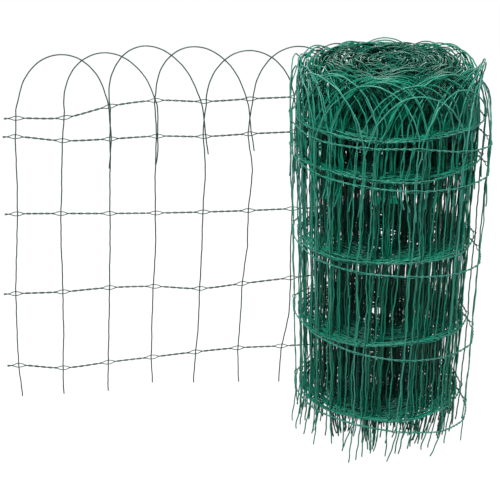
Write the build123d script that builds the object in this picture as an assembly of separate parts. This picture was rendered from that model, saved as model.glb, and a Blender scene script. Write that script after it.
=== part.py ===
"""Roll of hoop-topped border fence, standing on its end, with an open stretch leading off it.

Millimetres. The roll's axis is Z, with the floor at z = 0. The open stretch leaves the roll
tangentially at its back (+Y side) and runs towards -X.
"""
from build123d import *
from math import cos, pi, sin
import os

# Wires
HOOP_WIRE_DIAMETER = 2.4
STRAND_DIAMETER = 1.8
WIRE_GAP = 0.2
HOOP_SIDES = 6
STRAND_SIDES = 3

# Fence pattern
COLUMN_PITCH = 86.0
HOOP_SPAN_COLUMNS = 2
LOWEST_LINE_HEIGHT = 70.0
BAY_HEIGHT = 150.0
TOP_BAY_HEIGHT = 56.0
ARCH_TOP_ABOVE_TOP_LINE = 102.6
SHORT_LEG_BELOW_LINE = 50.0
ARCH_SLANT = 12.0
ARCH_STEPS = 12

# Twisted line wires
TWISTS_PER_BAY = 5
EYE_LENGTH = 21.0
EYE_FLAT_LENGTH = 8.0
EYE_HALF_HEIGHT = 2.9
CUT_END_LENGTH = 25.0

# Open stretch
OPEN_COLUMNS = 8
LAST_OPEN_COLUMN_AT = -60.8
SHEET_LEAN = 0.05
LINE_LIFTS_AT_FREE_END = [-6.0, 2.0, 9.0, 4.0, -15.0]
LINE_LIFTS_AT_ROLL = [9.0, -4.0, -3.0, -3.0, 9.0]
LEG_END_CLEARANCE = 3.0
SEAT_GAP = 0.3
JOIN_LAP = 6.0

# Roll
BORE_RADIUS = 26.0
SHOULDER_ABOVE_TOP_LINE = 18.0
FOOT_RADIUS = 166.0
SHOULDER_RADIUS = 180.0
SHOULDER_INSET = 16.0
INNER_TURN_RISE = 18.0
TURN_PITCH = 3.0
TURNS_PER_GROOVE = 4
TURN_SIDES = 20
END_RIM = 4.0
CREST_DROP = 0.5
TOP_GROOVE_DEPTH = 14.0
FOOT_GROOVE_DEPTH = 9.0

# Worked out from the sizes above
HOOP_RADIUS = HOOP_WIRE_DIAMETER / 2
STRAND_RADIUS = STRAND_DIAMETER / 2
LEG_OFFSET = HOOP_RADIUS + WIRE_GAP
ARCH_HALF_WIDTH = HOOP_SPAN_COLUMNS * COLUMN_PITCH / 2 - LEG_OFFSET
ARCH_OVERLAP = 1.2 * (HOOP_RADIUS + WIRE_GAP)
SHEET_STANDOFF = ARCH_OVERLAP + HOOP_RADIUS + SEAT_GAP
TWIST_RADIUS = STRAND_RADIUS + WIRE_GAP
EYE_HALF_DEPTH = HOOP_RADIUS + STRAND_RADIUS + WIRE_GAP
TURNS = int((FOOT_RADIUS - BORE_RADIUS) / TURN_PITCH)
GROOVES = TURNS // TURNS_PER_GROOVE

LINE_HEIGHTS = [LOWEST_LINE_HEIGHT + bay * BAY_HEIGHT for bay in range(4)]
LINE_HEIGHTS.append(LINE_HEIGHTS[-1] + TOP_BAY_HEIGHT)
SHOULDER_HEIGHT = LINE_HEIGHTS[-1] + SHOULDER_ABOVE_TOP_LINE
FENCE_HEIGHT = LINE_HEIGHTS[-1] + ARCH_TOP_ABOVE_TOP_LINE + HOOP_RADIUS
ROLL_HEIGHT = FENCE_HEIGHT + INNER_TURN_RISE
COLUMNS = [LAST_OPEN_COLUMN_AT - i * COLUMN_PITCH for i in reversed(range(OPEN_COLUMNS))]


def roll_radius(up):
    """Outer radius of the roll, which is wound a little looser at its arches than at its foot."""
    return FOOT_RADIUS + (SHOULDER_RADIUS - FOOT_RADIUS) * up / SHOULDER_HEIGHT


def lean_shift(up):
    """How far the open stretch's leaning legs are moved along it at a height."""
    return SHEET_LEAN * (up - FENCE_HEIGHT / 2)


def line_height(line, along):
    """Height of a line wire's axis, which is moved a little at the ends of the open stretch."""
    free, rolled = LINE_LIFTS_AT_FREE_END[line], LINE_LIFTS_AT_ROLL[line]
    share = (along - COLUMNS[0]) / (COLUMNS[-1] - COLUMNS[0])
    return LINE_HEIGHTS[line] + free + (rolled - free) * share


def on_fence(along, up, out):
    """Point on the fence: along it from where it leaves the roll, up, and out from its middle plane."""
    along += lean_shift(up)
    radius = roll_radius(up) + SHEET_STANDOFF + out
    if along <= 0:
        return Vector(along, radius, up)
    turn = along / SHOULDER_RADIUS
    return Vector(radius * sin(turn), radius * cos(turn), up)


def skin(rings, closed=False):
    """Solid between polygon rings: closed in a loop, or else with its two ends capped."""
    pairs = list(zip(rings, rings[1:]))
    if closed:
        faces = []
        pairs.append((rings[-1], rings[0]))
    else:
        faces = [Face(Wire.make_polygon(rings[0])), Face(Wire.make_polygon(rings[-1]))]
    for low, high in pairs:
        for k in range(len(low)):
            faces.append(Face(Wire.make_polygon([low[k - 1], low[k], high[k], high[k - 1]])))
    return Solid(Shell(faces))


def polygon(centre, across, beside, radius, sides):
    """Corners of a wire's section, the first one across from its centre."""
    angles = [2 * pi * k / sides for k in range(sides)]
    return [centre + across * (radius * cos(a)) + beside * (radius * sin(a)) for a in angles]


def bent_wire(points):
    """Hoop wire that follows points, mitred where it bends."""
    runs = [(b - a).normalized() for a, b in zip(points, points[1:])]
    beside = runs[0].cross(Vector(1, 0, 0)).normalized()
    ring = polygon(points[0], beside.cross(runs[0]), beside, HOOP_RADIUS, HOOP_SIDES)
    rings = [ring]
    for run, after, end in zip(runs, runs[1:] + runs[-1:], points[1:]):
        mitre = run + after
        ring = [p + run * ((end - p).dot(mitre) / run.dot(mitre)) for p in ring]
        rings.append(ring)
    return skin(rings)


def hoop_wire(column_at):
    """Long leg from the floor, arch that springs from the top line, and short leg below the fourth."""
    left = column_at + LEG_OFFSET
    middle = left + ARCH_HALF_WIDTH
    right = middle + ARCH_HALF_WIDTH
    spring = line_height(len(LINE_HEIGHTS) - 1, right)
    arch_height = FENCE_HEIGHT - HOOP_RADIUS - spring
    points = [on_fence(left, LEG_END_CLEARANCE, 0)]
    for step in range(ARCH_STEPS + 1):
        angle = pi * step / ARCH_STEPS
        along = middle - ARCH_HALF_WIDTH * cos(angle) - ARCH_SLANT * sin(angle)
        up = spring + arch_height * sin(angle)
        points.append(on_fence(along, up, ARCH_OVERLAP * sin(2 * angle)))
    points.append(on_fence(right, LINE_HEIGHTS[3] - SHORT_LEG_BELOW_LINE, 0))
    return bent_wire(points)


def twisted_run(start, end, half_turns, first_phase):
    """Quarter-turn points of one strand between two eyes, as (along, up, out) from the line's axis."""
    steps = 2 * half_turns
    run = []
    for step in range(steps + 1):
        phase = first_phase + pi / 2 * step
        along = start + (end - start) * step / steps
        run.append((along, TWIST_RADIUS * sin(phase), TWIST_RADIUS * cos(phase)))
    return run


def line_strand(line, side):
    """One of the two strands of a line wire, opened to an eye round the legs at each column."""
    phase = side * pi / 2
    path = twisted_run(COLUMNS[0] - CUT_END_LENGTH, COLUMNS[0] - EYE_LENGTH / 2, 1, phase + pi)
    for number, column_at in enumerate(COLUMNS):
        for edge in (-EYE_FLAT_LENGTH / 2, EYE_FLAT_LENGTH / 2):
            path.append((column_at + edge, side * EYE_HALF_HEIGHT, side * EYE_HALF_DEPTH))
        start = column_at + EYE_LENGTH / 2
        if number + 1 < len(COLUMNS):
            end = COLUMNS[number + 1] - EYE_LENGTH / 2
            path += twisted_run(start, end, TWISTS_PER_BAY, phase)
            side *= (-1) ** TWISTS_PER_BAY
            phase = side * pi / 2
    join = JOIN_LAP - lean_shift(line_height(line, 0))
    touch = STRAND_RADIUS + SEAT_GAP - SHEET_STANDOFF
    path += twisted_run(start, join - EYE_LENGTH, 2, phase)
    path.append((join, side * TWIST_RADIUS, touch))
    rings = []
    for along, up, out in path:
        centre = on_fence(along, line_height(line, along) + up, out)
        rings.append(polygon(centre, Vector(0, -1, 0), Vector(0, 0, 1), STRAND_RADIUS, STRAND_SIDES))
    return skin(rings)


def end_grooves(outer_radius, height, depth, facing):
    """Tool that cuts the grooves between bunches of turns into an end that faces up (1) or down (-1)."""
    outer = outer_radius - END_RIM
    inner = BORE_RADIUS + END_RIM
    pitch = (outer - inner) / GROOVES
    outline = []
    for groove in range(GROOVES):
        outline.append((outer - groove * pitch, -CREST_DROP))
        outline.append((outer - (groove + 0.5) * pitch, -depth))
    outline += [(inner, -CREST_DROP), (inner, depth), (outer, depth)]
    x, y = Vector(1, 0, 0), Vector(0, 1, 0)
    rings = [polygon(Vector(0, 0, height + facing * up), x, y, r, TURN_SIDES) for r, up in outline]
    return skin(rings, closed=True)


def rolled_fence():
    """The wound fence as one turned solid with its bore, the arches' shoulder and its turns' grooves."""
    rim_radius = SHOULDER_RADIUS - SHOULDER_INSET
    with BuildPart() as roll:
        with BuildSketch(Plane.XZ):
            with BuildLine():
                Polyline((BORE_RADIUS, 0), (FOOT_RADIUS, 0), (SHOULDER_RADIUS, SHOULDER_HEIGHT))
                TangentArc((SHOULDER_RADIUS, SHOULDER_HEIGHT), (rim_radius, ROLL_HEIGHT), tangent=(0, 1))
                Polyline((rim_radius, ROLL_HEIGHT), (BORE_RADIUS, ROLL_HEIGHT), (BORE_RADIUS, 0))
            make_face()
        revolve(axis=Axis.Z)
        add(end_grooves(rim_radius, ROLL_HEIGHT, TOP_GROOVE_DEPTH, 1), mode=Mode.SUBTRACT)
        add(end_grooves(FOOT_RADIUS, 0, FOOT_GROOVE_DEPTH, -1), mode=Mode.SUBTRACT)
    return roll.part


def save(shape, node):
    """Write one node's solid to its own file."""
    export_step(shape, f"parts/{node}.step")


def main():
    os.makedirs("parts", exist_ok=True)
    save(rolled_fence(), "rolled_fence")
    for number, column_at in enumerate(COLUMNS, start=1):
        save(hoop_wire(column_at), f"hoop_wire_{number}")
    for line in range(len(LINE_HEIGHTS)):
        save(line_strand(line, 1), f"line_wire_{line + 1}_front_strand")
        save(line_strand(line, -1), f"line_wire_{line + 1}_back_strand")


main()
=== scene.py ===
"""Roll of hoop-topped border fence: every wire of it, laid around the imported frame, and its studio."""

from math import cos, pi, radians, sin

import bmesh
import bpy
import numpy as np
from bpy.props import FloatProperty, FloatVectorProperty, IntProperty, PointerProperty
from mathutils import Matrix, Vector


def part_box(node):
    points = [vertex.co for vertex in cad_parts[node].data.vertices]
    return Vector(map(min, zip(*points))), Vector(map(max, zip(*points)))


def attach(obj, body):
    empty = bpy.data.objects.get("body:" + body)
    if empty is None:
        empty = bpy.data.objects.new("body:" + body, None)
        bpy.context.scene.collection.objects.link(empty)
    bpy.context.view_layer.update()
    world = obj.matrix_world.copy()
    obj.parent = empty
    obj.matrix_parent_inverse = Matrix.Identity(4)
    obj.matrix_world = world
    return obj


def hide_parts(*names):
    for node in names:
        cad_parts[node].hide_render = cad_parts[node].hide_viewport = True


bl_info = {
    "name": "Rolled Border Fence",
    "version": (1, 0, 0),
    "blender": (4, 5, 0),
    "location": "View3D > Sidebar > Border Fence",
    "description": "Lays the bent hoop wires and twisted line wires of a rolled border fence",
    "category": "Object",
}

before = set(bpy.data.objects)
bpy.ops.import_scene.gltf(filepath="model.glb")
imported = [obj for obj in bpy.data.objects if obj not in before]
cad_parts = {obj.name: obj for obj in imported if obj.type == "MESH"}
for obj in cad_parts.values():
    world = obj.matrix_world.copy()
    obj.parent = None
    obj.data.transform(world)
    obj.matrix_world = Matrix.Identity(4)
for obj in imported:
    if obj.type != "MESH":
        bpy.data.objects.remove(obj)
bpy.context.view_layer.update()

MM = 0.001

# The frame's pieces
ROLL = "rolled_fence"
BODY = "root"
OPEN_HOOPS = sorted(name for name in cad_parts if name.startswith("hoop_wire_"))
ROLL_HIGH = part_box(ROLL)[1]
HOOP_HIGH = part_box(OPEN_HOOPS[0])[1]

# Materials
ROLLED_COAT = "green_plastic_coat"
OPEN_COAT = "open_stretch_coat"
CUT_STEEL = "cut_steel"

# Fence pattern, as the frame's open stretch has it
HOOP_WIRE = 2.4 * MM
STRAND = 1.8 * MM
COLUMN_PITCH = 86 * MM
LAST_OPEN_COLUMN = -60.8 * MM
LINE_HEIGHTS = [height * MM for height in (70, 220, 370, 520, 576)]
FOURTH_LINE, TOP_LINE = LINE_HEIGHTS[3:]
TOP_BAY_MIDDLE = (FOURTH_LINE + TOP_LINE) / 2
SHOULDER_HEIGHT = 594 * MM
SPRING_HEIGHT = 572 * MM
ARCH_HEIGHT = HOOP_HIGH.z - SPRING_HEIGHT - HOOP_WIRE / 2
HALF_HEIGHT = HOOP_HIGH.z / 2
HOOP_SPAN = 2
CROSSING_DEPTH = 1.3 * MM
ARCH_OVERLAP = 1.7 * MM
SHEET_LEAN = 0.05
SHEET_STANDOFF = 3.2 * MM
FOOT_RADIUS = 166 * MM

# Bends of the open stretch, at its columns from the free end, in millimetres
OPEN_LINE_LIFTS = (
    (-1, -12, -5, 1, 7, 11, 10, 9),
    (0, -1, 3, 1, -8, -2, 5, 10),
    (10, 7, 3, 0, -2, -3, -3, -3),
    (8, -3, -3, -1, -5, -3, -2, 2),
    (-14, -16, 2, 10, 5, 7, 8, 11),
)
OPEN_ARCH_SLANTS = (3, 11, 20, 19, 7, 4, 8, 5)
OPEN_ARCH_LIFTS = (-3, -2, 8, 4, -6, -1, 2, 0)

# Ends of its long legs above the floor, and of its short legs below the fourth line, in millimetres
OPEN_TAIL_ENDS = (2, 2, 3, 16, 11, 7, 2.5, 4)
OPEN_SHORT_ENDS = (59, 55, 39, 36, 50, 52, 48, 50)

# Sideways bends of each open column at its line wires and half way between them, in millimetres
BEND_HEIGHTS = [height * MM for height in (5, 70, 145, 220, 295, 370, 445, 520, 576, 600)]
OPEN_COLUMN_BENDS = (
    (2.5, -2.5, -4.5, -4.5, -0.5, 2.5, 4.5, 3.5, 5.5, 9),
    (-2.5, -3.5, -1, -1.5, -3, -3, -0.5, 2.5, 6, 6),
    (-2.5, -1.5, -1, 1, 1.5, 1.5, 2, 3, 2, 1),
    (2.5, -1.5, -1.5, 1, 4, 2.5, 2, 2.5, -0.5, 0),
    (-4.5, -2.5, 2, 3, 4, 5, 7, 2.7, 1.6, 0),
    (-0.6, -4.6, -1.6, -1.6, 6.4, 4.4, 10, 1, 0, 0),
    (-6, -4, 7.5, 7.5, 3.5, 2.5, 3, 1, 0, 0),
    (-2, 0, -1, 1, 2, 0, 1, 2, 1, 0),
)

# Where a column's long and short leg pass its middle, in millimetres, at these heights
CROSS_HEIGHTS = [height * MM for height in (465, 492, 520, 548, 576, 600)]
OPEN_LONG_SIDES = (
    (0, 0, 0, 0, 0, 0),
    (0, 0, 0, 0, 0, 0),
    (0.5, 0, -1.5, 0, 1.4, 2),
    (-1.8, -1.8, -1.5, -2, -2, 1),
    (0, -1, -1.5, 0, 4.6, 5),
    (0, -2, -3, 0, 4, 5),
    (0, -1, -2, 0, 3, 4),
    (0, -1, -2, 0, 3, 4),
)
OPEN_SHORT_SIDES = (
    (-1.8, 0.5, 1.5, 0, -1.4, -2.5),
    (-1, 2.2, 1.5, 2.2, 2.5, -1),
    (9, 6, 2.7, 0, -4.5, -5),
    (6, 5, 3, 0, -4, -5),
    (2, 3, 2, 0, -3, -4),
    (3, 3, 2, 0, -3, -4),
    (4, 3, 2, 0, -3, -4),
    (1, 2, 2, 0, -3, -4),
)

# At those heights a rolled column's two legs part by these shares of a random reach, and each leg also
# strays by itself, in millimetres
LEG_PARTING = (0.3, 0, -0.5, 0.1, 0.9, 1)
MOST_PARTING = 5
LONG_SIDE_SWING = 0.7
SHORT_SIDE_SWING = 1.2

# Twisted line wires
HALF_TWISTS = 5
TWIST_RADIUS = 1.05 * MM
EYE_LENGTH = 22 * MM
EYE_FLAT = 7 * MM
EYE_SHOULDER = 15 * MM
EYE_HALF_HEIGHT = 2.9 * MM
EYE_HALF_DEPTH = 2.3 * MM
CUT_END_LENGTH = 22 * MM
CUT_END_POINTS = 5

# Half of an eye: places from its middle, and how far it is open there
EYE_PLACES = np.array([0, EYE_FLAT / 2, EYE_SHOULDER / 2])
EYE_SHAPE = np.array([1, 0.95, 0.7])

# How much of the roll's curve a line wire cuts off between two columns, where a straight run is 1
BAY_FLATNESS = 0.45

# Loose outer turn of the roll, at each quarter turn from where the open stretch leaves it
OUTER_RADII = [radius * MM for radius in (183.2, 176, 174, 172, 167, 160)]
OUTER_RISES = [rise * MM for rise in (0, -24, -3, 19, 16, 12)]
QUARTERS = len(OUTER_RADII) - 1
LOOSE_TURNS = QUARTERS / 4

# Radius that no bend takes the middle of a rolled wire past
ROLL_LIMIT = ROLL_HIGH.x - 1.3 * MM

# Bends of the line wires in the loose outer turn, at its columns, in millimetres
LOOSE_LINE_LIFTS = (
    (0, -3, -7, -11, -12, -8, 2, 5, 0, -3, -4),
    (7, 3, -3, -3, -8, -8, -7, -4, 0, 3, 5),
    (0, 0, -2, -2, -5, -3, 0, -3, -5, 0, 0),
    (0, 2, 5, 8, 5, 2, 0, -1, -3, 0, 1),
    (6, 2, 0, -2, 2, 7, 15, 8, 0, 2, 2),
)

# How far the first rolled arches, which are the loose turn's, lean in over the roll, in millimetres
LOOSE_ARCH_FALLS = (0, 2, 20, 24, 15)

# Points worked out on each turn of the spiral, and random phases drawn for its unevenness
POINTS_A_TURN = 60
PHASES = 8

# Packed turns: pushed to one side, wound unevenly in bunches, and slid up and down
PACKED_TO_BACK = 5.5 * MM
PACKED_TO_LEFT = 3 * MM
PACKING_FADE_TURNS = 0.5
BUNCH_TURNS = 3.7
BUNCH_SWING = 1.5 * MM
OVAL_SHARE = 0.5
OVAL_TWIST = 0.7
RISE_SWING = 4 * MM
RISE_TURNS = (2.7, 7.1)
RISE_BLEND_QUARTERS = 3

# How far rolled columns slip along the fence to nest in bunches, which lie round the roll at these
# angles where an even and an odd number of columns go round it, and how far they miss their places
NEST_SWING = 12 * MM
NEST_ANGLES = [radians(angle) for angle in (192, 184)]
COLUMN_JITTER = 1.5 * MM

# Bends that neighbours share, as waves across the roll seen from above, and each one's own share
DRIFT_WAVES = 5
DRIFT_LENGTH = 110 * MM
DRIFT_STRETCH = (0.6, 1.6)
DRIFT_SUM = 1.6
OWN_SHARE = 0.4

# Rolled columns and line wires, and how much they drift
ROLLED_LEAN = -0.012
LEAN_DRIFT = 0.02
BEND_DRIFT = 1.8 * MM
ROLLED_LINE_LIFTS = [lift * MM for lift in (2, -4, 0, -1, 10)]
LINE_DRIFT = 2.5 * MM

# How far rolled arches lean in, which near the core is at most a share of their turn's radius
ARCH_FALL = 12 * MM
ARCH_FALL_DRIFT = 10 * MM
MOST_ARCH_FALL = 36 * MM
CORE_ARCH_FALL = 0.45

# How rolled arches rise and slant, and how far their tops lie from the long leg, in columns
ARCH_LIFT = 6 * MM
ARCH_SLANT = 3 * MM
ARCH_DRIFT = 5 * MM
ARCH_TOP_SPREAD = (0.6, 1.0, 1.4)
TOP_CLEARANCE = 1 * MM

# Lower ends of the rolled long legs, which lie higher further in and nest like their columns
TAIL_END = -8 * MM
TAIL_END_LIMITS = (-20 * MM, 14 * MM)
INNER_TAIL_RISE = 20 * MM
INNER_TAIL_TURNS = 16
FLOOR_CLEARANCE = 2.5 * MM
TAIL_BEND = 2 * MM
TAIL_DRIFT = 5 * MM
TAIL_NESTING = 0.8
TAIL_CURVE = 1.4

# Lower ends of the rolled short legs, below the fourth line wire
SHORT_END = 49 * MM
SHORT_END_LIMITS = (36 * MM, 64 * MM)
SHORT_BEND_LENGTH = 60 * MM
SHORT_CURVE = 1.3

# Small waves along every hoop wire: their wavelengths and shares of the swing
WAVES = ((28 * MM, 0.6), (61 * MM, 0.8), (170 * MM, 1.3))
WAVE_STRETCH = (0.8, 1.25)
OPEN_WAVE_SWING = 0.3 * MM
ROLLED_WAVE_SWING = 0.85 * MM
WAVE_DEPTH = 0.6
OPEN_SET_BACK = 0.6 * MM

# Stub of bare steel on a cut end: how far it sits in, how far it stands out, and its share of the wire
STUB_INSIDE = 0.2 * MM
STUB_OUTSIDE = 0.5 * MM
STEEL_SHARE = 0.72

# Steps along the wires and their roundness, which are finest in the open stretch
OPEN_HOOP_STEP = 6 * MM
OPEN_HOOP_ROUNDNESS = 2
OPEN_STRAND_STEPS = 18
OPEN_STRAND_ROUNDNESS = 1
OUTER_STRAND_COLUMNS = 80
OUTER_STRAND_STEPS = 14
INNER_STRAND_STEPS = 8
ROLLED_STRAND_ROUNDNESS = 0

# Groups of rolled hoop wires: name, first and last column from the outside, step and roundness
ROLLED_HOOP_GROUPS = (
    ("outer", 0, 70, 6 * MM, 1),
    ("middle", 70, 170, 8 * MM, 0),
    ("core", 170, None, 12 * MM, 0),
)

# Distances from the roll's axis between which the coat's painted shade, darkest near the axis, gives way
# to the painted sheen of the outer turns
PAINTED_SHADE_RADIUS = 100 * MM
PAINTED_SHEEN_RADIUS = 165 * MM

# Sky as glossy rays see it, and its light on the fence; the camera sees it white
SKY_REFLECTION = 0.6
SKY_LIGHT = 0.02

# Floor, and how much of its glow the camera and glossy rays see
FLOOR_HALF_WIDTH = 12
FLOOR_GLOW = 1.16
FLOOR_SEEN = 0.85
FLOOR_REFLECTION = 0.02

# Disc of floor behind the roll's axis where the floor's white glow is turned off, so that its grey paint
# and the roll's shadow show there as painted shade under the roll, and its soft edge
DARK_FLOOR_BEHIND = 85 * MM
DARK_FLOOR_RADIUS = 100 * MM
DARK_FLOOR_EDGE = 30 * MM

# Lights: name, place, height on the roll's axis that they face, size and power
LIGHTS = (
    ("key_light", (-0.7, -1.3, 2.6), 0.35, 0.4, 115),
    ("right_light", (1.9, -0.5, 1.4), 0.4, 0.4, 18),
    ("back_light", (0.3, 2.2, 1.7), 0.4, 1.5, 24),
)


class FenceSizes(bpy.types.PropertyGroup):
    """Sizes of the fence's wires, columns and roll."""

    hoop_wire: FloatProperty(
        name="Hoop wire", description="Diameter of the coated hoop wire",
        default=HOOP_WIRE, min=MM, unit="LENGTH", precision=4)
    strand: FloatProperty(
        name="Strand", description="Diameter of each coated strand of a line wire",
        default=STRAND, min=MM, unit="LENGTH", precision=4)
    column_pitch: FloatProperty(
        name="Column pitch", description="Distance from one upright to the next",
        default=COLUMN_PITCH, min=40 * MM, unit="LENGTH", precision=4)
    core_radius: FloatProperty(
        name="Core radius", description="Radius of the innermost turn",
        default=28.5 * MM, min=10 * MM, unit="LENGTH", precision=4)
    turns: IntProperty(
        name="Turns", description="Turns that the fence is wound into", default=54, min=3)
    seed: IntProperty(
        name="Seed", description="Start of the random bends", default=7, min=0)


class FenceFinish(bpy.types.PropertyGroup):
    """Colours of the plastic coat and of the cut wire ends."""

    # Painted shade: this darker colour stands in for the shade inside the roll, and darkens the coat
    # towards the roll's axis
    painted_shade_coat: FloatVectorProperty(
        name="Deep coat", description="Colour of the coat inside the roll, where no light has faded it",
        default=(0.0, 0.076, 0.046), size=3, subtype="COLOR", min=0, max=1)
    coat: FloatVectorProperty(
        name="Coat", description="Colour of the green plastic coat",
        default=(0.0, 0.168, 0.101), size=3, subtype="COLOR", min=0, max=1)
    # Worn coat and painted sheen: this greyer, lighter colour shows in dull patches, and as a painted
    # sheen on the roll's outer turns
    worn_and_sheen_coat: FloatVectorProperty(
        name="Worn coat", description="Colour of the coat where it has dulled",
        default=(0.037, 0.2, 0.157), size=3, subtype="COLOR", min=0, max=1)
    # The open stretch's pieces use this coat colour, darker and greyer than the roll's coat
    open_coat: FloatVectorProperty(
        name="Open coat", description="Colour of the coat on the open stretch, greyed by handling",
        default=(0.02, 0.061, 0.047), size=3, subtype="COLOR", min=0, max=1)
    steel: FloatVectorProperty(
        name="Cut steel", description="Colour of the steel at the cut ends",
        default=(0.42, 0.43, 0.42), size=3, subtype="COLOR", min=0, max=1)


class FenceStudio(bpy.types.PropertyGroup):
    """Colour of the floor, and the camera."""

    floor: FloatVectorProperty(
        name="Floor", description="Colour of the floor",
        default=(0.6, 0.6, 0.6), size=3, subtype="COLOR", min=0, max=1)
    camera_place: FloatVectorProperty(
        name="Camera", description="Place of the camera",
        default=(-0.441, -1.945, 1.159), size=3, subtype="TRANSLATION")
    camera_yaw: FloatProperty(
        name="Yaw", description="How far the camera looks to the right",
        default=radians(5.84), subtype="ANGLE")
    camera_pitch: FloatProperty(
        name="Pitch", description="How far the camera looks down",
        default=radians(22.25), subtype="ANGLE")
    camera_roll: FloatProperty(
        name="Roll", description="How far the camera is tipped sideways",
        default=radians(-0.43), subtype="ANGLE")
    lens: FloatProperty(
        name="Lens", description="Focal length of the camera", default=86.4, min=10, unit="CAMERA")


class ShaderValue:
    """A node's output, on which Python's operators add Math nodes."""

    def __init__(self, shader, socket):
        self.shader = shader
        self.socket = socket

    def math(self, operation, first, second):
        """Add a Math node that works on two shader values or numbers."""
        return self.shader.add("ShaderNodeMath", {"operation": operation}, ordered=(first, second))

    def __add__(self, other):
        return self.math("ADD", self, other)

    def __mul__(self, other):
        return self.math("MULTIPLY", self, other)

    def __rsub__(self, other):
        return self.math("SUBTRACT", other, self)

    __radd__ = __add__
    __rmul__ = __mul__


class Shader:
    """The nodes of a new material or world, made one at a time by add."""

    def __init__(self, owner):
        owner.use_nodes = True
        self.owner = owner
        self.tree = owner.node_tree
        self.tree.nodes.clear()

    def add(self, kind, settings=None, output=0, ordered=(), **named):
        """Make a node, set it up and feed its sockets, in order or by name with _ for spaces."""
        node = self.tree.nodes.new(kind)
        for name, value in (settings or {}).items():
            if name == "stops":
                self.set_stops(node.color_ramp.elements, value)
            else:
                setattr(node, name, value)
        for socket, value in zip(node.inputs, ordered):
            self.feed(socket, value)
        for name, value in named.items():
            self.feed(node.inputs[name.replace("_", " ")], value)
        return ShaderValue(self, node.outputs[output]) if node.outputs else None

    def set_stops(self, elements, stops):
        """Give a colour ramp its stops, each a place and a colour."""
        while len(elements) < len(stops):
            elements.new(0.5)
        for element, (place, colour) in zip(elements, stops):
            element.position = place
            element.color = (*colour, 1)

    def feed(self, socket, value):
        """Link a shader value to a socket, or set the socket to a colour, a place or a number."""
        if isinstance(value, ShaderValue):
            self.tree.links.new(value.socket, socket)
        elif socket.type == "RGBA":
            socket.default_value = (*value, 1)
        else:
            socket.default_value = value

    def finish(self, output_kind, surface):
        """Connect the surface to the output, and give the material or world back."""
        self.add(output_kind, Surface=surface)
        return self.owner


def coat_material(name, shade_colour, fresh, worn_and_sheen):
    """Glossy green plastic coat with painted shade that darkens it towards the roll's axis and a painted
    sheen that greys its outer turns, duller in patches, with a faint ripple.
    """
    shader = Shader(bpy.data.materials.new(name))
    place = shader.add("ShaderNodeTexCoord", output="Object")
    patches = shader.add("ShaderNodeTexNoise", {"noise_dimensions": "3D"}, Vector=place,
                         Scale=9.0, Detail=3.0, Roughness=0.6)
    ripple = shader.add("ShaderNodeTexNoise", {"noise_dimensions": "3D"}, Vector=place,
                        Scale=420.0, Detail=2.0, Roughness=0.5)
    flat = shader.add("ShaderNodeMapping", Vector=place, Scale=(1.0, 1.0, 0.0))
    # Painted shade and sheen: by distance from the roll's axis the coat is darkened inside the roll and
    # greyed on its outer turns
    from_axis = shader.add("ShaderNodeVectorMath", {"operation": "LENGTH"}, output="Value", Vector=flat)
    outside = shader.add("ShaderNodeMapRange", {"interpolation_type": "SMOOTHSTEP"}, Value=from_axis,
                         From_Min=PAINTED_SHADE_RADIUS, From_Max=PAINTED_SHEEN_RADIUS)
    # Ramp from the painted shade colour through the fresh coat to the worn colour, which also carries the
    # painted sheen
    colour = shader.add("ShaderNodeValToRGB", {"stops": ((0.25, shade_colour), (0.62, fresh), (0.82, worn_and_sheen))},
                        Fac=patches * 0.5 + outside * 0.5)
    bump = shader.add("ShaderNodeBump", Strength=0.25, Distance=0.15 * MM, Height=ripple)
    surface = shader.add("ShaderNodeBsdfPrincipled", Base_Color=colour, Roughness=patches * 0.2 + 0.24,
                         Specular_IOR_Level=0.28, Normal=bump)
    return shader.finish("ShaderNodeOutputMaterial", surface)


def steel_material(finish):
    """Bare steel core, as a cutter leaves it."""
    shader = Shader(bpy.data.materials.new(CUT_STEEL))
    place = shader.add("ShaderNodeTexCoord", output="Object")
    scratches = shader.add("ShaderNodeTexNoise", {"noise_dimensions": "3D"}, Vector=place,
                           Scale=900.0, Detail=2.0)
    surface = shader.add("ShaderNodeBsdfPrincipled", Base_Color=finish.steel, Metallic=1.0,
                         Roughness=scratches * 0.3 + 0.3)
    return shader.finish("ShaderNodeOutputMaterial", surface)


def wire_materials(context, coat=ROLLED_COAT):
    """A coat and the cut steel, made once and shared by every piece."""
    finish = context.scene.fence_finish
    if CUT_STEEL not in bpy.data.materials:
        steel_material(finish)
        coat_material(ROLLED_COAT, finish.painted_shade_coat, finish.coat, finish.worn_and_sheen_coat)
        coat_material(OPEN_COAT, finish.painted_shade_coat, finish.open_coat, finish.open_coat)
    return [bpy.data.materials[coat], bpy.data.materials[CUT_STEEL]]


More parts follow.
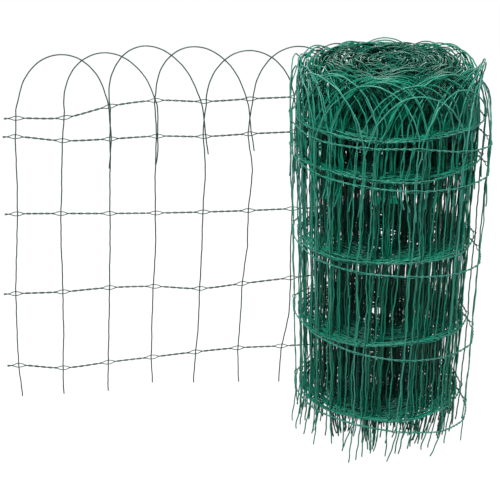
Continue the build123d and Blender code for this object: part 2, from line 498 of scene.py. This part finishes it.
class FenceLayout:
    """Where every column, leg and line wire lies, from the fence's free end to the roll's core."""

    def __init__(self, sizes):
        self.sizes = sizes
        rng = np.random.default_rng(sizes.seed)
        self.wind_spiral(rng)
        self.place_columns(rng)
        self.bend_columns(rng)
        self.bend_arches(rng)
        self.bend_leg_ends(rng)

    def wind_spiral(self, rng):
        """The fence's radius, length and rise at points all along its turns."""
        self.turns = np.linspace(0, self.sizes.turns, self.sizes.turns * POINTS_A_TURN + 1)
        self.phases = rng.uniform(0, 2 * pi, PHASES)
        self.radii = self.spiral_radius(self.turns)
        steps = 2 * pi * np.diff(self.turns) * (self.radii[1:] + self.radii[:-1]) / 2
        self.lengths = np.concatenate([[0], np.cumsum(steps)])
        self.rises = self.spiral_rise(self.turns)

    def place_columns(self, rng):
        """Each column's distance along the fence: even in the open stretch, and nested in the roll."""
        pitch = self.sizes.column_pitch
        self.open_count = len(OPEN_HOOPS)
        first = LAST_OPEN_COLUMN - (self.open_count - 1) * pitch
        rolled_count = int((self.lengths[-1] - LAST_OPEN_COLUMN) / pitch)
        self.count = self.open_count + rolled_count
        self.along = first + np.arange(self.count) * pitch
        self.along[self.open_count:] += self.nesting(self.along[self.open_count:])
        self.along[self.open_count:] += rng.uniform(-1, 1, rolled_count) * COLUMN_JITTER

    def bend_columns(self, rng):
        """How columns lean and bend, how line wires lie at them, and how their two legs part."""
        self.leans = self.drift(LEAN_DRIFT, rng) + ROLLED_LEAN
        self.leans[:self.open_count] = SHEET_LEAN
        self.lifts = np.array([lift + self.drift(LINE_DRIFT, rng) for lift in ROLLED_LINE_LIFTS])
        known = np.hstack([OPEN_LINE_LIFTS, LOOSE_LINE_LIFTS]) * MM
        self.lifts[:, :known.shape[1]] = known
        bends = np.array([self.drift(BEND_DRIFT, rng) for _ in BEND_HEIGHTS]).T
        self.bends = self.with_open(bends, OPEN_COLUMN_BENDS)
        parting = rng.uniform(0, MOST_PARTING, (self.count, 1)) * LEG_PARTING
        long_sides = (parting + rng.normal(0, LONG_SIDE_SWING, parting.shape)) * MM
        short_sides = (-parting + rng.normal(0, SHORT_SIDE_SWING, parting.shape)) * MM
        self.long_sides = self.with_open(long_sides, OPEN_LONG_SIDES)
        self.short_sides = self.with_open(short_sides, OPEN_SHORT_SIDES)

    def bend_arches(self, rng):
        """How far each arch leans in over the roll, how high it stands and how far it slants."""
        falls = np.clip(ARCH_FALL + self.drift(ARCH_FALL_DRIFT, rng), 0, MOST_ARCH_FALL)
        falls = np.minimum(falls, CORE_ARCH_FALL * np.interp(self.along, self.lengths, self.radii))
        falls[self.open_count:self.open_count + len(LOOSE_ARCH_FALLS)] = np.array(LOOSE_ARCH_FALLS) * MM
        self.falls = self.with_open(falls, 0)
        near_top = self.along[:, None] + np.array(ARCH_TOP_SPREAD) * self.sizes.column_pitch
        rises = np.interp(near_top, self.lengths, self.rises).max(axis=1)
        lifts = ARCH_LIFT - abs(self.drift(ARCH_DRIFT, rng))
        lifts = np.minimum(lifts, ROLL_HIGH.z - HOOP_HIGH.z - rises - TOP_CLEARANCE)
        self.arch_lifts = self.with_open(lifts, OPEN_ARCH_LIFTS)
        self.arch_slants = self.with_open(ARCH_SLANT + self.drift(ARCH_DRIFT, rng), OPEN_ARCH_SLANTS)

    def bend_leg_ends(self, rng):
        """Where the lower ends of long and short legs lie, and how far they bend sideways and out."""
        inner = np.clip(np.interp(self.along, self.lengths, self.turns) / INNER_TAIL_TURNS, 0, 1)
        ends = np.clip(self.drift(TAIL_DRIFT, rng) + TAIL_END, *TAIL_END_LIMITS)
        bends = TAIL_BEND + self.drift(TAIL_DRIFT, rng) + self.nesting(self.along) * TAIL_NESTING
        rises = np.interp(self.along + bends, self.lengths, self.rises)
        ends = np.maximum(ends + INNER_TAIL_RISE * inner, FLOOR_CLEARANCE - rises)
        self.tail_ends = self.with_open(ends, OPEN_TAIL_ENDS)
        self.tail_bends = self.with_open(bends, 0)
        self.tail_splays = self.with_open(self.drift(TAIL_DRIFT, rng), 0)
        ends = np.clip(SHORT_END + self.drift(ARCH_DRIFT, rng), *SHORT_END_LIMITS)
        self.short_ends = self.with_open(ends, OPEN_SHORT_ENDS)
        self.short_bends = self.with_open(self.drift(ARCH_DRIFT, rng), 0)
        self.short_splays = self.with_open(self.drift(ARCH_DRIFT, rng), 0)

    def with_open(self, values, known):
        """Every column's values, with those of the open stretch, known in millimetres, put in."""
        values[:self.open_count] = np.array(known) * MM
        return values

    def nesting(self, along):
        """How far each turn slips along the one under it, so that its uprights nest in bunches."""
        turn = np.interp(along, self.lengths, self.turns)
        around = np.interp(along, self.lengths, self.radii) * 2 * pi / self.sizes.column_pitch
        bunches = np.round(around)
        angle = np.take(NEST_ANGLES, bunches.astype(int) % 2)
        return -NEST_SWING * np.sin(bunches * (2 * pi * turn - angle))

    def drift(self, swing, rng):
        """A bend for every column, much the same for neighbours and a little its own."""
        spots = self.place(self.along, HALF_HEIGHT, 0)[:, :2]
        total = np.zeros(self.count)
        for heading in rng.uniform(0, 2 * pi, DRIFT_WAVES):
            wave = 2 * pi / (DRIFT_LENGTH * rng.uniform(*DRIFT_STRETCH))
            across = spots @ np.array([cos(heading), sin(heading)])
            total += np.sin(across * wave + rng.uniform(0, 2 * pi)) / DRIFT_SUM
        return swing * (total + OWN_SHARE * rng.normal(0, 1, self.count))

    def column_at(self, column, ups):
        """Distance along the fence of a column's middle, at some heights."""
        lean = self.leans[column] * (ups - HALF_HEIGHT)
        return self.along[column] + lean + np.interp(ups, BEND_HEIGHTS, self.bends[column])

    def line_level(self, line, column, share):
        """Height of a line wire, by its share of the way from a column to the next, in a smooth curve."""
        near = self.lifts[line, max(column - 1, 0):column + 3]
        before, here, after, later = near[[0, min(column, 1), -2, -1]]
        slope, end_slope = (after - before) / 2, (later - here) / 2
        square, cube = share ** 2, share ** 3
        curve = here * (2 * cube - 3 * square + 1) + after * (3 * square - 2 * cube)
        curve = curve + slope * (cube - 2 * square + share) + end_slope * (cube - square)
        return LINE_HEIGHTS[line] + curve

    def spiral_radius(self, turns):
        """Radius of the fence at the roll's shoulder: loose in the outer turn, then packed and bunched."""
        quarters = turns * 4
        outer = np.interp(quarters, range(QUARTERS + 1), OUTER_RADII)
        share = np.clip((turns - LOOSE_TURNS) / (self.sizes.turns - LOOSE_TURNS), 0, 1)
        packed = OUTER_RADII[-1] + (self.sizes.core_radius - OUTER_RADII[-1]) * share
        fade = np.clip((turns - LOOSE_TURNS) / PACKING_FADE_TURNS, 0, 1) * np.sqrt(1 - share)
        around = 2 * pi * turns
        bunches = np.sin(around / BUNCH_TURNS + np.sin(around + self.phases[0]) + self.phases[1])
        oval = np.sin(2 * around + self.phases[2] + turns * OVAL_TWIST) * OVAL_SHARE
        pushed = PACKED_TO_BACK * np.cos(around) - PACKED_TO_LEFT * np.sin(around)
        packed = packed + pushed * fade + (bunches + oval) * BUNCH_SWING * fade
        return np.where(quarters < QUARTERS, outer, packed)

    def spiral_rise(self, turns):
        """How far each turn has slid up from the floor's level."""
        quarters = turns * 4
        outer = np.interp(quarters, range(QUARTERS + 1), OUTER_RISES)
        sways = [np.sin(2 * pi * turns / each + phase) for each, phase in zip(RISE_TURNS, self.phases[3:])]
        packed = OUTER_RISES[-1] - RISE_SWING * (1 - sum(sways) / 2) / 2
        blend = np.clip((quarters - QUARTERS) / RISE_BLEND_QUARTERS, 0, 1)
        return np.where(quarters < QUARTERS, outer, OUTER_RISES[-1] * (1 - blend) + packed * blend)

    def place(self, along, up, out):
        """Points of the fence, from their distance along it, height and distance out of its middle."""
        along, up, out = np.broadcast_arrays(along, up, out)
        angle = 2 * pi * np.interp(along, self.lengths, self.turns)
        height = up + np.interp(along, self.lengths, self.rises)
        taper = FOOT_RADIUS + (ROLL_HIGH.x - FOOT_RADIUS) * np.minimum(height / SHOULDER_HEIGHT, 1)
        taper = (taper + SHEET_STANDOFF) / OUTER_RADII[0]
        radius = np.interp(along, self.lengths, self.radii) * taper
        kept_in = np.minimum(radius + out, np.maximum(ROLL_LIMIT, radius))
        radius = np.where(along > 0, kept_in, radius + out)
        flat = np.minimum(along, 0)
        return np.stack([radius * np.sin(angle) + flat, radius * np.cos(angle), height], axis=-1)


def wire_piece(name, paths, diameter, roundness, materials, cut_ends):
    """One object of many wires: a poly spline for each path, and a stub of bare steel on its cut ends."""
    curve = bpy.data.curves.new(name, "CURVE")
    curve.dimensions = "3D"
    curve.bevel_depth = diameter / 2
    curve.bevel_resolution = roundness
    curve.use_fill_caps = True
    for material in materials:
        curve.materials.append(material)
    for path in paths:
        add_spline(curve, path, 1, 0)
        if cut_ends:
            add_stub(curve, path[0], path[1])
            add_stub(curve, path[-1], path[-2])
    piece = bpy.data.objects.new(name, curve)
    bpy.context.scene.collection.objects.link(piece)
    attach(piece, BODY)
    return piece


def add_stub(curve, end, before):
    """Bare steel core that stands out of a wire's cut end."""
    away = (end - before) / np.linalg.norm(end - before)
    add_spline(curve, np.array([end - away * STUB_INSIDE, end + away * STUB_OUTSIDE]), STEEL_SHARE, 1)


def add_spline(curve, path, thickness, material_index):
    """One straight-jointed spline of a curve."""
    spline = curve.splines.new("POLY")
    spline.points.add(len(path) - 1)
    rows = np.ones((len(path), 4))
    rows[:, :3] = path
    spline.points.foreach_set("co", rows.ravel())
    spline.points.foreach_set("radius", np.full(len(path), float(thickness)))
    spline.use_smooth = True
    spline.material_index = material_index


def waves(run, rng, swing):
    """Small uneven waves along a wire, from the distances of its points."""
    total = np.zeros(len(run))
    for wavelength, share in WAVES:
        length = wavelength * rng.uniform(*WAVE_STRETCH)
        total += share * np.sin(2 * pi * run / length + rng.uniform(0, 2 * pi))
    return total * swing


def hoop_path(layout, column, step, rng):
    """Points of one hoop wire: long leg, arch over two bays and short leg."""
    other = column + HOOP_SPAN
    tail = layout.tail_ends[column]
    low_short = FOURTH_LINE - layout.short_ends[column]
    up_long = np.linspace(tail, SPRING_HEIGHT, int((SPRING_HEIGHT - tail) / step) + 1)
    angles = np.linspace(0, pi, int(pi * ARCH_HEIGHT / step) + 1)[1:-1]
    up_arch = SPRING_HEIGHT + (ARCH_HEIGHT + layout.arch_lifts[column]) * np.sin(angles)
    up_short = np.linspace(SPRING_HEIGHT, low_short, int((SPRING_HEIGHT - low_short) / step) + 1)
    ups = np.concatenate([up_long, up_arch, up_short])
    turned = np.concatenate([np.zeros(len(up_long)), angles, np.full(len(up_short), pi)])
    left = layout.column_at(column, ups) + np.interp(ups, CROSS_HEIGHTS, layout.long_sides[column])
    right = layout.column_at(other, ups) + np.interp(ups, CROSS_HEIGHTS, layout.short_sides[column])
    across = (1 - np.cos(turned)) / 2
    along = left + (right - left) * across - layout.arch_slants[column] * np.sin(turned)
    out = ARCH_OVERLAP * np.sin(2 * turned) - layout.falls[column] * np.sin(turned) ** 2
    below = np.clip(1 - up_long / LINE_HEIGHTS[0], 0, 1) ** TAIL_CURVE
    along[:len(up_long)] += below * layout.tail_bends[column]
    out[:len(up_long)] += below * layout.tail_splays[column]
    below = np.clip((FOURTH_LINE - up_short) / SHORT_BEND_LENGTH, 0, 1) ** SHORT_CURVE
    along[-len(up_short):] += below * layout.short_bends[column]
    out[-len(up_short):] += below * layout.short_splays[column]
    passing = np.interp(ups, (FOURTH_LINE, TOP_BAY_MIDDLE, TOP_LINE), (0, CROSSING_DEPTH, 0))
    out = out + np.where(turned < pi / 2, passing, -passing)
    run = np.arange(len(ups)) * step
    is_open = column < layout.open_count
    swing = OPEN_WAVE_SWING if is_open else ROLLED_WAVE_SWING
    along = along + waves(run, rng, swing)
    out = out + waves(run, rng, swing * WAVE_DEPTH) - (OPEN_SET_BACK if is_open else 0)
    return layout.place(along, ups, out)


def strand_path(layout, line, side, first, last, steps):
    """Points of one strand from a column to another, with an eye at each, and its side at the last."""
    points = []
    turned = np.linspace(0, 1, steps + 1)
    for column in range(first, last):
        here, after = [layout.column_at(near, LINE_HEIGHTS[line]) for near in (column, column + 1)]
        width = after - here
        twist = EYE_LENGTH / 2 + (width - EYE_LENGTH) * turned
        phase = side * pi / 2 + pi * HALF_TWISTS * turned
        after_side = side * (-1) ** HALF_TWISTS
        local = np.concatenate([EYE_PLACES, twist, width - EYE_PLACES[:0:-1]])
        opened = np.concatenate([side * EYE_SHAPE, 0 * phase, after_side * EYE_SHAPE[:0:-1]])
        wound = np.concatenate([0 * EYE_SHAPE, np.exp(1j * phase), 0 * EYE_SHAPE[1:]]) * TWIST_RADIUS
        share = local / width
        up = opened * EYE_HALF_HEIGHT + wound.imag
        level = layout.line_level(line, column, share)
        radius = np.interp(here + local, layout.lengths, layout.radii)
        sagitta = np.where(here + local > 0, width ** 2 / (8 * radius), 0)
        out = opened * EYE_HALF_DEPTH + wound.real - sagitta * BAY_FLATNESS * 4 * share * (1 - share)
        points.append(layout.place(here + local, level + up, out))
        side = after_side
    return np.concatenate(points), side


def cut_strand_end(layout, line, side):
    """Points of the short twisted end of a strand past the first column."""
    level = LINE_HEIGHTS[line] + layout.lifts[line, 0]
    start = layout.column_at(0, LINE_HEIGHTS[line])
    local = np.linspace(-CUT_END_LENGTH, -EYE_LENGTH / 2, CUT_END_POINTS)
    phase = side * pi / 2 + pi + pi * (local + EYE_LENGTH / 2) / (CUT_END_LENGTH - EYE_LENGTH / 2)
    end = layout.place(start + local, level - TWIST_RADIUS * np.sin(phase), TWIST_RADIUS * np.cos(phase))
    eye = layout.place(start - EYE_FLAT / 2, level + side * EYE_HALF_HEIGHT, side * EYE_HALF_DEPTH)
    return np.concatenate([end, eye[None]])


class FENCE_OT_open_hoops(bpy.types.Operator):
    """Bend the hoop wires of the open stretch"""

    bl_idname = "fence.open_hoops"
    bl_label = "Open Hoop Wires"

    def execute(self, context):
        sizes = context.scene.fence_sizes
        layout = FenceLayout(sizes)
        rng = np.random.default_rng(sizes.seed + 1)
        for column, node in enumerate(OPEN_HOOPS):
            path = hoop_path(layout, column, OPEN_HOOP_STEP, rng)
            piece = wire_piece(f"open_{node}", [path], sizes.hoop_wire, OPEN_HOOP_ROUNDNESS,
                               wire_materials(context, OPEN_COAT), True)
            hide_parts(node)
        return {"FINISHED"}


class FENCE_OT_open_lines(bpy.types.Operator):
    """Twist the line wires of the open stretch"""

    bl_idname = "fence.open_lines"
    bl_label = "Open Line Wires"

    def execute(self, context):
        sizes = context.scene.fence_sizes
        layout = FenceLayout(sizes)
        for line in range(len(LINE_HEIGHTS)):
            paths = []
            for side in (1, -1):
                path, _ = strand_path(layout, line, side, 0, layout.open_count, OPEN_STRAND_STEPS)
                paths.append(np.concatenate([cut_strand_end(layout, line, side), path]))
            name = f"line_wire_{line + 1}"
            piece = wire_piece(f"open_{name}", paths, sizes.strand, OPEN_STRAND_ROUNDNESS,
                               wire_materials(context, OPEN_COAT), True)
            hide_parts(f"{name}_front_strand", f"{name}_back_strand")
        return {"FINISHED"}


class FENCE_OT_rolled_hoops(bpy.types.Operator):
    """Wind the hoop wires of the roll, in groups from its outside to its core"""

    bl_idname = "fence.rolled_hoops"
    bl_label = "Rolled Hoop Wires"

    def execute(self, context):
        sizes = context.scene.fence_sizes
        layout = FenceLayout(sizes)
        rng = np.random.default_rng(sizes.seed + 2)
        columns = range(layout.open_count, layout.count - HOOP_SPAN)
        for label, first, last, step, roundness in ROLLED_HOOP_GROUPS:
            paths = [hoop_path(layout, column, step, rng) for column in columns[first:last]]
            piece = wire_piece(f"{label}_turn_hoop_wires", paths, sizes.hoop_wire, roundness,
                               wire_materials(context), True)
            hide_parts(ROLL)
        return {"FINISHED"}


class FENCE_OT_rolled_lines(bpy.types.Operator):
    """Wind the twisted line wires of the roll"""

    bl_idname = "fence.rolled_lines"
    bl_label = "Rolled Line Wires"

    def execute(self, context):
        sizes = context.scene.fence_sizes
        layout = FenceLayout(sizes)
        start, end = layout.open_count, layout.count - 1
        middle = min(start + OUTER_STRAND_COLUMNS, end - 1)
        for line in range(len(LINE_HEIGHTS)):
            paths = []
            for side in (1, -1):
                first = side * (-1) ** (HALF_TWISTS * start)
                outer, later = strand_path(layout, line, first, start, middle, OUTER_STRAND_STEPS)
                inner, _ = strand_path(layout, line, later, middle, end, INNER_STRAND_STEPS)
                paths.append(np.concatenate([outer, inner]))
            piece = wire_piece(f"wound_line_wire_{line + 1}", paths, sizes.strand,
                               ROLLED_STRAND_ROUNDNESS, wire_materials(context), False)
            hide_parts(ROLL)
        return {"FINISHED"}


def ray_kinds(shader):
    """Whether a ray comes from the camera, off a gloss, or through glass."""
    names = ("Is Camera Ray", "Is Glossy Ray", "Is Transmission Ray")
    return [shader.add("ShaderNodeLightPath", output=name) for name in names]


def floor_material(studio):
    """Pale floor that the camera sees nearly white, with the object's shadow left on it."""
    shader = Shader(bpy.data.materials.new("studio_floor"))
    seen, glossy, through = ray_kinds(shader)
    paint = shader.add("ShaderNodeBsdfDiffuse", Color=studio.floor)
    glow = shader.add("ShaderNodeEmission", Color=(1.0, 1.0, 1.0), Strength=FLOOR_GLOW)
    place = shader.add("ShaderNodeTexCoord", output="Object")
    # Painted shade: in a disc under the roll the floor loses its white glow and shows its grey paint and
    # the roll's shadow
    moved = shader.add("ShaderNodeMapping", Vector=place, Location=(0.0, -DARK_FLOOR_BEHIND, 0.0))
    away = shader.add("ShaderNodeVectorMath", {"operation": "LENGTH"}, output="Value", Vector=moved)
    dark = shader.add("ShaderNodeMapRange", {"interpolation_type": "SMOOTHSTEP"}, Value=away,
                      From_Min=DARK_FLOOR_RADIUS - DARK_FLOOR_EDGE, From_Max=DARK_FLOOR_RADIUS,
                      To_Min=1.0, To_Max=0.0)
    factor = (seen + glossy * FLOOR_REFLECTION + through) * FLOOR_SEEN * (1 - dark)
    surface = shader.add("ShaderNodeMixShader", ordered=(factor, paint, glow))
    return shader.finish("ShaderNodeOutputMaterial", surface)


def add_floor(studio):
    """Wide flat floor under the roll."""
    mesh = bpy.data.meshes.new("floor")
    bm = bmesh.new()
    bmesh.ops.create_grid(bm, x_segments=1, y_segments=1, size=FLOOR_HALF_WIDTH)
    bm.to_mesh(mesh)
    bm.free()
    mesh.materials.append(floor_material(studio))
    floor = bpy.data.objects.new("floor", mesh)
    bpy.context.scene.collection.objects.link(floor)


def add_light(name, place, aim_height, size, power):
    """A square soft light that faces the roll's axis."""
    light = bpy.data.lights.new(name, "AREA")
    light.size = size
    light.energy = power
    lamp = bpy.data.objects.new(name, light)
    lamp.location = place
    aim = Vector((0, 0, aim_height))
    lamp.rotation_euler = (aim - Vector(place)).to_track_quat("-Z", "Y").to_euler()
    bpy.context.scene.collection.objects.link(lamp)


def studio_world():
    """Sky that is white to the camera, greyer in reflections and faint as light on the fence."""
    shader = Shader(bpy.data.worlds.new("studio"))
    seen, glossy, through = ray_kinds(shader)
    strength = seen + through + glossy * SKY_REFLECTION + SKY_LIGHT
    background = shader.add("ShaderNodeBackground", Color=(1.0, 1.0, 1.0), Strength=strength)
    return shader.finish("ShaderNodeOutputWorld", background)


def add_camera(studio):
    """Camera that looks as far right, down and tipped as the studio's angles say."""
    yaw, pitch, tip = studio.camera_yaw, -studio.camera_pitch, studio.camera_roll
    forward = Vector((sin(yaw) * cos(pitch), cos(yaw) * cos(pitch), sin(pitch)))
    right = Vector((cos(yaw), -sin(yaw), 0))
    up = right.cross(forward)
    tipped_right = right * cos(tip) + up * sin(tip)
    tipped_up = up * cos(tip) - right * sin(tip)
    turn = Matrix((tipped_right, tipped_up, -forward)).transposed().to_4x4()
    camera = bpy.data.objects.new("camera", bpy.data.cameras.new("camera"))
    camera.data.lens = studio.lens
    camera.matrix_world = Matrix.Translation(studio.camera_place) @ turn
    bpy.context.scene.collection.objects.link(camera)
    bpy.context.scene.camera = camera


class FENCE_OT_stage(bpy.types.Operator):
    """Set up the floor, the lights, the sky and the camera"""

    bl_idname = "fence.stage"
    bl_label = "Studio"

    def execute(self, context):
        studio = context.scene.fence_studio
        add_floor(studio)
        for light in LIGHTS:
            add_light(*light)
        context.scene.world = studio_world()
        context.scene.view_settings.view_transform = "Standard"
        add_camera(studio)
        return {"FINISHED"}


class FENCE_PT_panel(bpy.types.Panel):
    """Sizes, finish and studio of the fence, and the operators that make it"""

    bl_label = "Border Fence"
    bl_space_type = "VIEW_3D"
    bl_region_type = "UI"
    bl_category = "Border Fence"

    def draw(self, context):
        for group in (context.scene.fence_sizes, context.scene.fence_finish, context.scene.fence_studio):
            box = self.layout.box()
            for name in group.__annotations__:
                box.prop(group, name)
        for operator in OPERATORS:
            self.layout.operator(operator.bl_idname)


OPERATORS = (FENCE_OT_open_hoops, FENCE_OT_open_lines, FENCE_OT_rolled_hoops, FENCE_OT_rolled_lines,
             FENCE_OT_stage)
GROUPS = {"fence_sizes": FenceSizes, "fence_finish": FenceFinish, "fence_studio": FenceStudio}
CLASSES = (*GROUPS.values(), *OPERATORS, FENCE_PT_panel)


def register():
    for cls in CLASSES:
        bpy.utils.register_class(cls)
    for name, group in GROUPS.items():
        setattr(bpy.types.Scene, name, PointerProperty(type=group))


def unregister():
    for name in GROUPS:
        delattr(bpy.types.Scene, name)
    for cls in reversed(CLASSES):
        bpy.utils.unregister_class(cls)


def main():
    """Make every piece and the stage."""
    register()
    bpy.ops.fence.stage()
    bpy.ops.fence.open_hoops()
    bpy.ops.fence.open_lines()
    bpy.ops.fence.rolled_hoops()
    bpy.ops.fence.rolled_lines()


if __name__ == "__main__":
    main()
